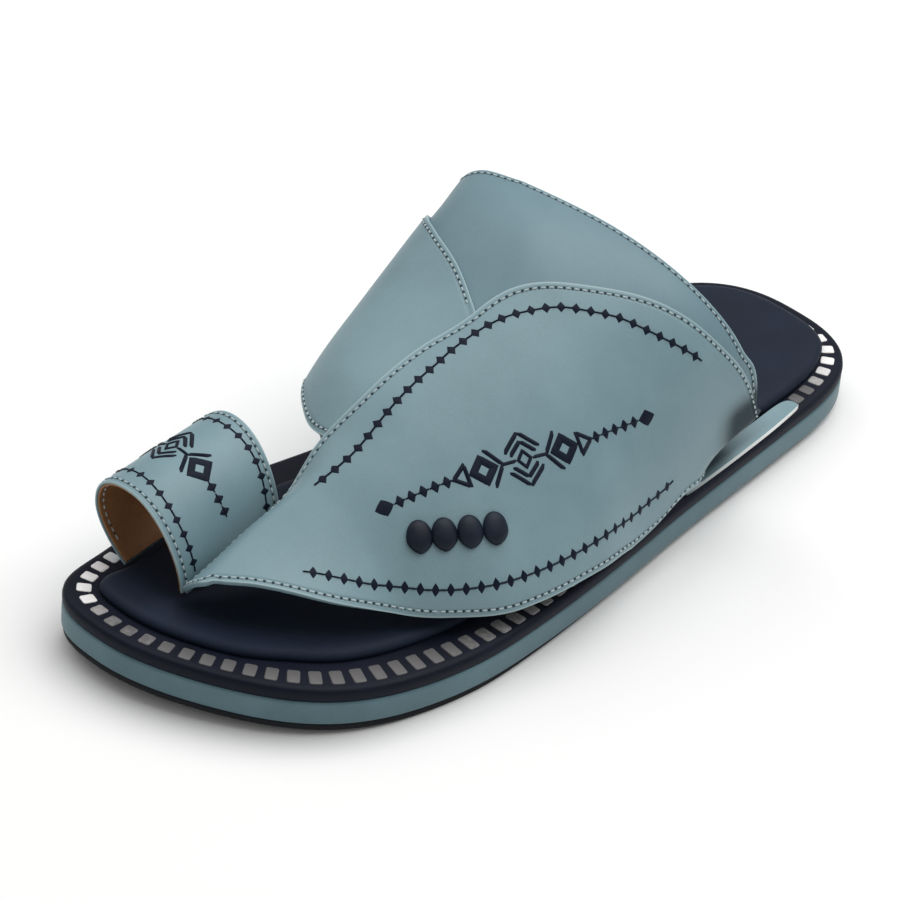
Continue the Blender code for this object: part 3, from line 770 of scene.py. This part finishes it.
def alongPath(points, pitch):  # evenly spaced places on a path: point, direction, normal
    placed, left = [], pitch / 2
    for (a, up), (b, _) in zip(points, points[1:]):
        length = (b - a).length
        while left <= length:
            placed.append((a.lerp(b, left / length), (b - a).normalized(), up))
            left += pitch
        left -= length
    return placed


def surfaceMatrix(p, along, up):  # x along, z up
    across = up.cross(along).normalized()
    turn = Matrix((across.cross(up), across, up)).transposed().to_4x4()
    return Matrix.Translation(p * mm) @ turn


def buildSeams():
    stitches, holes = bmesh.new(), bmesh.new()
    uv = stitches.loops.layers.uv.new("thread")
    size = Matrix.Diagonal((seams["stitchLong"] * mm, seams["stitchWide"] * mm, seams["stitchHigh"] * mm, 1))
    lift = Matrix.Translation((0, 0, seams["stitchLift"] * mm))
    spot = Matrix.Translation((seams["pitch"] / 2 * mm, 0, seams["holeLift"] * mm))
    for name, edge, start, end, depth in seams["rows"]:
        for p, along, up in alongPath(seamPath(straps[name], edge, start, end, depth), seams["pitch"]):
            matrix = surfaceMatrix(p, along, up)
            made = bmesh.ops.create_uvsphere(stitches, u_segments=6, v_segments=4, radius=0.5)["verts"]
            for loop in {l for v in made for l in v.link_loops}:
                loop[uv].uv = (loop.vert.co.x * seams["stitchLong"], loop.vert.co.y * seams["stitchWide"])
            bmesh.ops.transform(stitches, matrix=matrix @ lift @ size, verts=made)
            # a flat disc of painted shade stands for the hole
            disc = bmesh.ops.create_circle(holes, cap_ends=True, segments=8, radius=seams["hole"] * mm)["verts"]
            bmesh.ops.transform(holes, matrix=matrix @ spot, verts=disc)
    return stitches, holes


stitches, holes = buildSeams()
finishPiece("seam_stitches", stitches, [seamThread])
finishPiece("needle_holes", holes, [needleHole], flat=True)
print("seams sewn")

# Embroidery: satin-stitched stars, bars and frames that follow the leather
embroidery = {
    "high": 0.40, "sunk": 0.10, "starSegments": 16, "chainPitch": 4.47, "linkWide": 0.75, "barWide": 1.65,
    "linkEnd": 1.0, "tail": 3.0, "closedReach": 0.9, "lineSteps": 40,
    # stars: half length, half width, how full
    "topStar": (1.95, 2.1, 0.95), "lowStar": (1.55, 2.35, 1.1), "toeStar": (1.70, 2.0, 0.96),
    "smallStar": (1.6, 2.4, 1.15), "endStar": (3.8, 3.2, 1.1),
    # lines: y and around of the places that they pass
    "topChain": (
        (-74.1, 0.980), (-58.4, 0.943), (-46.8, 0.920), (-34.2, 0.931), (-25.4, 0.947), (-16.9, 0.933), (-8.8, 0.883),
        (-1.4, 0.811), (5.4, 0.739), (12.0, 0.658), (19.4, 0.574), (25.1, 0.492), (30.9, 0.406), (37.2, 0.316),
    ),
    "lowChain": (
        (-93.8, 0.584), (-87.5, 0.461), (-80.5, 0.350), (-72.6, 0.274), (-65.5, 0.218), (-58.1, 0.189), (-47.0, 0.176),
        (-34.5, 0.164), (-21.6, 0.154), (-8.3, 0.141), (2.3, 0.116), (11.4, 0.103), (20.3, 0.082),
    ),
    "flapMotif": ((-66.1, 0.641), (-46.0, 0.560), (-26.9, 0.506), (-5.0, 0.418), (16.2, 0.315)),
    "toeFront": (
        (-111.0, 0.20), (-112.2, 0.55), (-112.3, 0.80), (-111.6, 1.08), (-111.2, 1.4), (-111.0, 1.8), (-110.5, 2.3),
    ),
    "toeRear": ((-81.4, 0.30), (-80.0, 0.53), (-79.8, 0.75), (-80.3, 1.0), (-80.3, 1.3), (-80.4, 1.8), (-80.8, 2.3)),
    "toeMotif": ((-96.0, 0.36), (-97.2, 0.70), (-96.4, 1.20), (-96.2, 1.70), (-96.2, 2.28)),
    # motif: millimetres along the line and to its side
    "heart": (2.0, 2.4), "roofs": ((7.8, 5.5, 2.7), (5.2, 4.0, 1.6)), "chevron": (6.9, 11.2, 5.7),
    "bridge": (2.6, 7.2), "frameAt": 13.0, "frameHalf": 3.3, "frameWide": 1.75, "thin": 0.8,
    "triangle": (22.4, 18.2, 3.1), "smallLink": 1.9,
    "flapEnds": {"triangle": True, "first": 24.6, "small": 5, "pitch": 3.7, "star": 44.2},
    "toeEnds": {"triangle": False, "first": 19.4, "small": 3, "pitch": 4.0, "star": 0},
}


def onFlap(y, around, lift):
    return onWall("foot", y, around, strapLift(straps["flap"], y) + lift)


def onToeLoop(y, around, lift):
    return onWall("toe", y, around, lift)


def sewingLine(wall, surface, places):  # line on a surface, measured in millimetres from its middle place
    keyed = [(i, *place) for i, place in enumerate(places)]
    fine = embroidery["lineSteps"]
    dense = [through(keyed, i / fine) for i in range(fine * (len(places) - 1) + 1)]
    lengths = [0.0]
    for a, b in zip(dense, dense[1:]):
        lengths.append(lengths[-1] + (surface(*b, 0.0) - surface(*a, 0.0)).length)
    middle = lengths[fine * (len(places) // 2)]
    rows = [(length - middle, *place) for length, place in zip(lengths, dense)]
    return {"wall": wall, "surface": surface, "rows": rows, "start": rows[0][0], "end": rows[-1][0]}


def besideLine(line, s, t, lift):  # point s along the line and t to its side
    rows = line["rows"]
    low = 0
    high = len(rows) - 1
    while high - low > 1:
        mid = (low + high) // 2
        low, high = (mid, high) if rows[mid][0] <= s else (low, mid)
    a, b = rows[low], rows[high]
    share = (s - a[0]) / (b[0] - a[0])  # runs on past the ends
    y, around = a[1] + (b[1] - a[1]) * share, a[2] + (b[2] - a[2]) * share
    alongY, about, up = wallSlopes(line["wall"], y, around)
    along = (alongY * (b[1] - a[1]) + about * (b[2] - a[2])).normalized()
    across = up.cross(along).normalized() * t
    yy, ya, aa = alongY.dot(alongY), alongY.dot(about), about.dot(about)
    dy, da = across.dot(alongY), across.dot(about)
    det = yy * aa - ya * ya
    return line["surface"](y + (dy * aa - da * ya) / det, around + (da * yy - dy * ya) / det, lift)


def sewStar(bm, uv, line, s, t, halfLong, halfWide, power):
    made = bmesh.ops.create_circle(
        bm, cap_ends=True, cap_tris=True, segments=embroidery["starSegments"], radius=1.0,
    )["verts"]
    for vert in made:
        x, y = vert.co.x, vert.co.y
        size = abs(x) ** power + abs(y) ** power
        rimVert = size > 0.01
        k = size ** (-1 / power) if rimVert else 0.0
        vert.co.x, vert.co.y = x * k * halfLong, y * k * halfWide
        vert.co.z = -embroidery["sunk"] if rimVert else embroidery["high"]
    sewDown(bm, uv, made, line, Matrix.Translation((s, t, 0)))


def sewBar(bm, uv, line, a, b, wide, reach=0.0):
    a, b = Vector((*a, 0)), Vector((*b, 0))
    made = bmesh.ops.create_grid(bm, x_segments=6, y_segments=2, size=0.5)["verts"]
    for vert in made:
        middle = abs(vert.co.y) < 0.1
        end = abs(vert.co.x) > 0.45
        vert.co.x *= (b - a).length + wide * (reach + (0.5 if middle and not reach else 0.0))
        vert.co.y *= wide
        vert.co.z = embroidery["high"] if middle and not end else -embroidery["sunk"]
    turn = math.atan2((b - a).y, (b - a).x)
    sewDown(bm, uv, made, line, Matrix.Translation((a + b) / 2) @ Matrix.Rotation(turn, 4, "Z"))


def sewDown(bm, uv, made, line, matrix):  # lays a flat shape on the leather
    for loop in {l for v in made for l in v.link_loops}:
        loop[uv].uv = (loop.vert.co.x, loop.vert.co.y)
    for vert in made:
        flat = matrix @ vert.co
        vert.co = besideLine(line, flat.x, flat.y, flat.z) * mm


def sewChain(bm, uv, line, star):
    count = round((line["end"] - line["start"]) / embroidery["chainPitch"])
    pitch = (line["end"] - line["start"]) / count
    gap, tail, wide = embroidery["linkEnd"], embroidery["tail"], embroidery["linkWide"]
    for i in range(count + 1):
        s = line["start"] + pitch * i
        sewStar(bm, uv, line, s, 0, *star)
        if i < count:
            sewBar(bm, uv, line, (s + gap, 0), (s + pitch - gap, 0), wide)
    for end, way in ((line["start"], -1), (line["end"], 1)):  # loose end of the thread
        sewBar(bm, uv, line, (end + way * gap, 0), (end + way * tail, 0), wide)


def sewFrame(bm, uv, line, corners, wide, closed):
    for a, b in zip(corners, corners[1:] + corners[:1] if closed else corners[1:]):
        sewBar(bm, uv, line, a, b, wide, embroidery["closedReach"] if closed else 0.0)


def sewMotif(bm, uv, line, ends):
    wide, half = embroidery["barWide"], embroidery["frameHalf"]
    thin = wide * embroidery["thin"]
    long, high = embroidery["heart"]
    sewFrame(bm, uv, line, [(long, 0), (0, high), (-long, 0), (0, -high)], thin, True)
    for side in (1, -1):
        for apex, foot, low in embroidery["roofs"]:
            sewFrame(bm, uv, line, [(-foot, side * low), (0, side * apex), (foot, side * low)], wide, False)
        tip, back, spread = embroidery["chevron"]
        sewFrame(bm, uv, line, [(side * back, spread), (side * tip, 0), (side * back, -spread)], wide, False)
        sewBar(bm, uv, line, *((side * s, 0) for s in embroidery["bridge"]), thin)
        corners = [(side * (embroidery["frameAt"] + x), y) for x, y in ((half, 0), (0, half), (-half, 0), (0, -half))]
        sewFrame(bm, uv, line, corners, wide * embroidery["frameWide"], True)
        if ends["triangle"]:
            tip, back, spread = embroidery["triangle"]
            sewFrame(bm, uv, line, [(side * tip, 0), (side * back, spread), (side * back, -spread)], wide, True)
        for i in range(ends["small"]):
            s, reach = side * (ends["first"] + ends["pitch"] * i), side * embroidery["smallLink"]
            sewStar(bm, uv, line, s, 0, *embroidery["smallStar"])
            sewBar(bm, uv, line, (s - reach, 0), (s + reach, 0), embroidery["linkWide"])
        if ends["star"]:
            sewStar(bm, uv, line, side * ends["star"], 0, *embroidery["endStar"])


def buildEmbroidery(wall, surface, chains, motif, ends):
    bm = bmesh.new()
    uv = bm.loops.layers.uv.new("thread")
    for chain, star in chains:
        sewChain(bm, uv, sewingLine(wall, surface, embroidery[chain]), embroidery[star])
    sewMotif(bm, uv, sewingLine(wall, surface, embroidery[motif]), embroidery[ends])
    return bm


flapChains = (("topChain", "topStar"), ("lowChain", "lowStar"))
toeChains = (("toeFront", "toeStar"), ("toeRear", "toeStar"))
flapSewing = buildEmbroidery("foot", onFlap, flapChains, "flapMotif", "flapEnds")
finishPiece("flap_embroidery", flapSewing, [embroideryThread])
toeSewing = buildEmbroidery("toe", onToeLoop, toeChains, "toeMotif", "toeEnds")
finishPiece("toe_loop_embroidery", toeSewing, [embroideryThread])
print("embroidery sewn")

# Ornaments: four moulded pads side by side
ornaments = {
    "places": ((-63.2, 0.464), (-57.0, 0.428), (-50.6, 0.397), (-44.0, 0.370)),
    "halfLong": 4.0, "halfWide": 4.95, "high": 2.3, "dome": 0.8, "sunk": 0.3, "roundTop": 2.1, "roundBase": 1.65,
    "widest": 0.15, "lean": 8.0, "rings": 12, "segments": 40,
}


def buildOrnament(n):
    y, around = ornaments["places"][n]
    seat = onFlap(y, around, 0.0)
    up = (onFlap(y, around, 1.0) - seat).normalized()
    first, last = (onFlap(*ornaments["places"][i], 0.0) for i in (0, -1))
    bm = bmesh.new()
    bmesh.ops.create_uvsphere(bm, u_segments=ornaments["segments"], v_segments=ornaments["rings"], radius=1.0)
    for vert in bm.verts:
        x, yy, z = vert.co
        flat = math.hypot(x, yy)
        square = ornaments["roundTop" if yy > 0 else "roundBase"]
        if flat > 0.001:  # from a round outline to an acorn's
            k = (abs(x / flat) ** square + abs(yy / flat) ** square) ** (-1 / square)
            x, yy = x * k, yy * k
        low = ornaments["widest"]  # below the middle
        vert.co.x = x * ornaments["halfLong"]
        vert.co.y = (yy * (1 + low if yy > 0 else 1 - low) - low) * ornaments["halfWide"]
        vert.co.z = z ** ornaments["dome"] * ornaments["high"] if z > 0 else z * ornaments["sunk"]
    lean = Matrix.Rotation(math.radians(ornaments["lean"]), 4, "Y")  # each one laps the next
    bmesh.ops.transform(bm, matrix=Matrix.Diagonal((mm, mm, mm, 1)), verts=bm.verts)
    bmesh.ops.transform(bm, matrix=surfaceMatrix(seat, last - first, up) @ lean, verts=bm.verts)
    return bm


for n in range(len(ornaments["places"])):
    node = f"ornament_pad_{n + 1}"
    pad = finishPiece(f"ornament_{n + 1}", buildOrnament(n), [ornamentLeather], [node])
print("ornaments set")

# Studio: pale floor, soft light from above, camera at the photograph's angle
studio = {
    "floor": 8.0, "floorTint": "F4F4F3", "world": 0.37,
    "lights": (  # place in metres, width, power
        ((0.18, 0.78, 1.9), 2.4, 41.0), ((-1.4, -0.1, 1.5), 1.6, 8.5),
    ),
    "lit": (0, 0, 0.04),
    "eye": (0.6654, -0.7724, 0.7620), "aim": (0.0056, -0.0256, 0.0400), "roll": 5.53, "lens": 168.0,
}


def buildStudio():
    bm = bmesh.new()
    bmesh.ops.create_grid(bm, x_segments=1, y_segments=1, size=studio["floor"] / 2)
    mesh = bpy.data.meshes.new("studio_floor")
    bm.to_mesh(mesh)
    bm.free()
    floor = bpy.data.objects.new("studio_floor", mesh)
    bpy.context.scene.collection.objects.link(floor)
    paper, shader = newMaterial("white studio paper")  # matt paper sweep, evenly bright
    place = addNode(paper, "ShaderNodeTexCoord").outputs["Object"]
    fibre = fineNoise(paper, place, 2.0, 2.0)
    paper.node_tree.links.new(relief(paper, fibre, 0.02, 0.1), shader.inputs["Normal"])
    shader.inputs["Base Color"].default_value = tint(studio["floorTint"])
    shader.inputs["Roughness"].default_value = 0.9
    mesh.materials.append(paper)
    for n, (place, width, power) in enumerate(studio["lights"]):
        lamp = bpy.data.lights.new(f"softbox_{n + 1}", "AREA")
        lamp.shape, lamp.size, lamp.energy = "DISK", width, power
        lampObject = bpy.data.objects.new(lamp.name, lamp)
        lampObject.location = place
        lampObject.rotation_euler = (Vector(studio["lit"]) - Vector(place)).to_track_quat("-Z", "Y").to_euler()
        bpy.context.scene.collection.objects.link(lampObject)
    world = bpy.data.worlds.new("white studio")
    world.use_nodes = True
    world.node_tree.nodes["Background"].inputs["Color"].default_value = (1, 1, 1, 1)
    world.node_tree.nodes["Background"].inputs["Strength"].default_value = studio["world"]
    bpy.context.scene.world = world
    bpy.context.scene.view_settings.view_transform = "Standard"  # hex tints come out as they are


def buildCamera():
    camera = bpy.data.cameras.new("camera")
    camera.sensor_width, camera.lens = 36.0, studio["lens"]
    camera.clip_start, camera.clip_end = 0.05, 50.0
    eye, aim = Vector(studio["eye"]), Vector(studio["aim"])
    facing = (aim - eye).to_track_quat("-Z", "Y").to_matrix().to_4x4()
    cameraObject = bpy.data.objects.new("camera", camera)
    roll = Matrix.Rotation(math.radians(studio["roll"]), 4, "Z")
    cameraObject.matrix_world = Matrix.Translation(eye) @ facing @ roll
    bpy.context.scene.collection.objects.link(cameraObject)
    bpy.context.scene.camera = cameraObject


buildStudio()
buildCamera()
print("studio set")
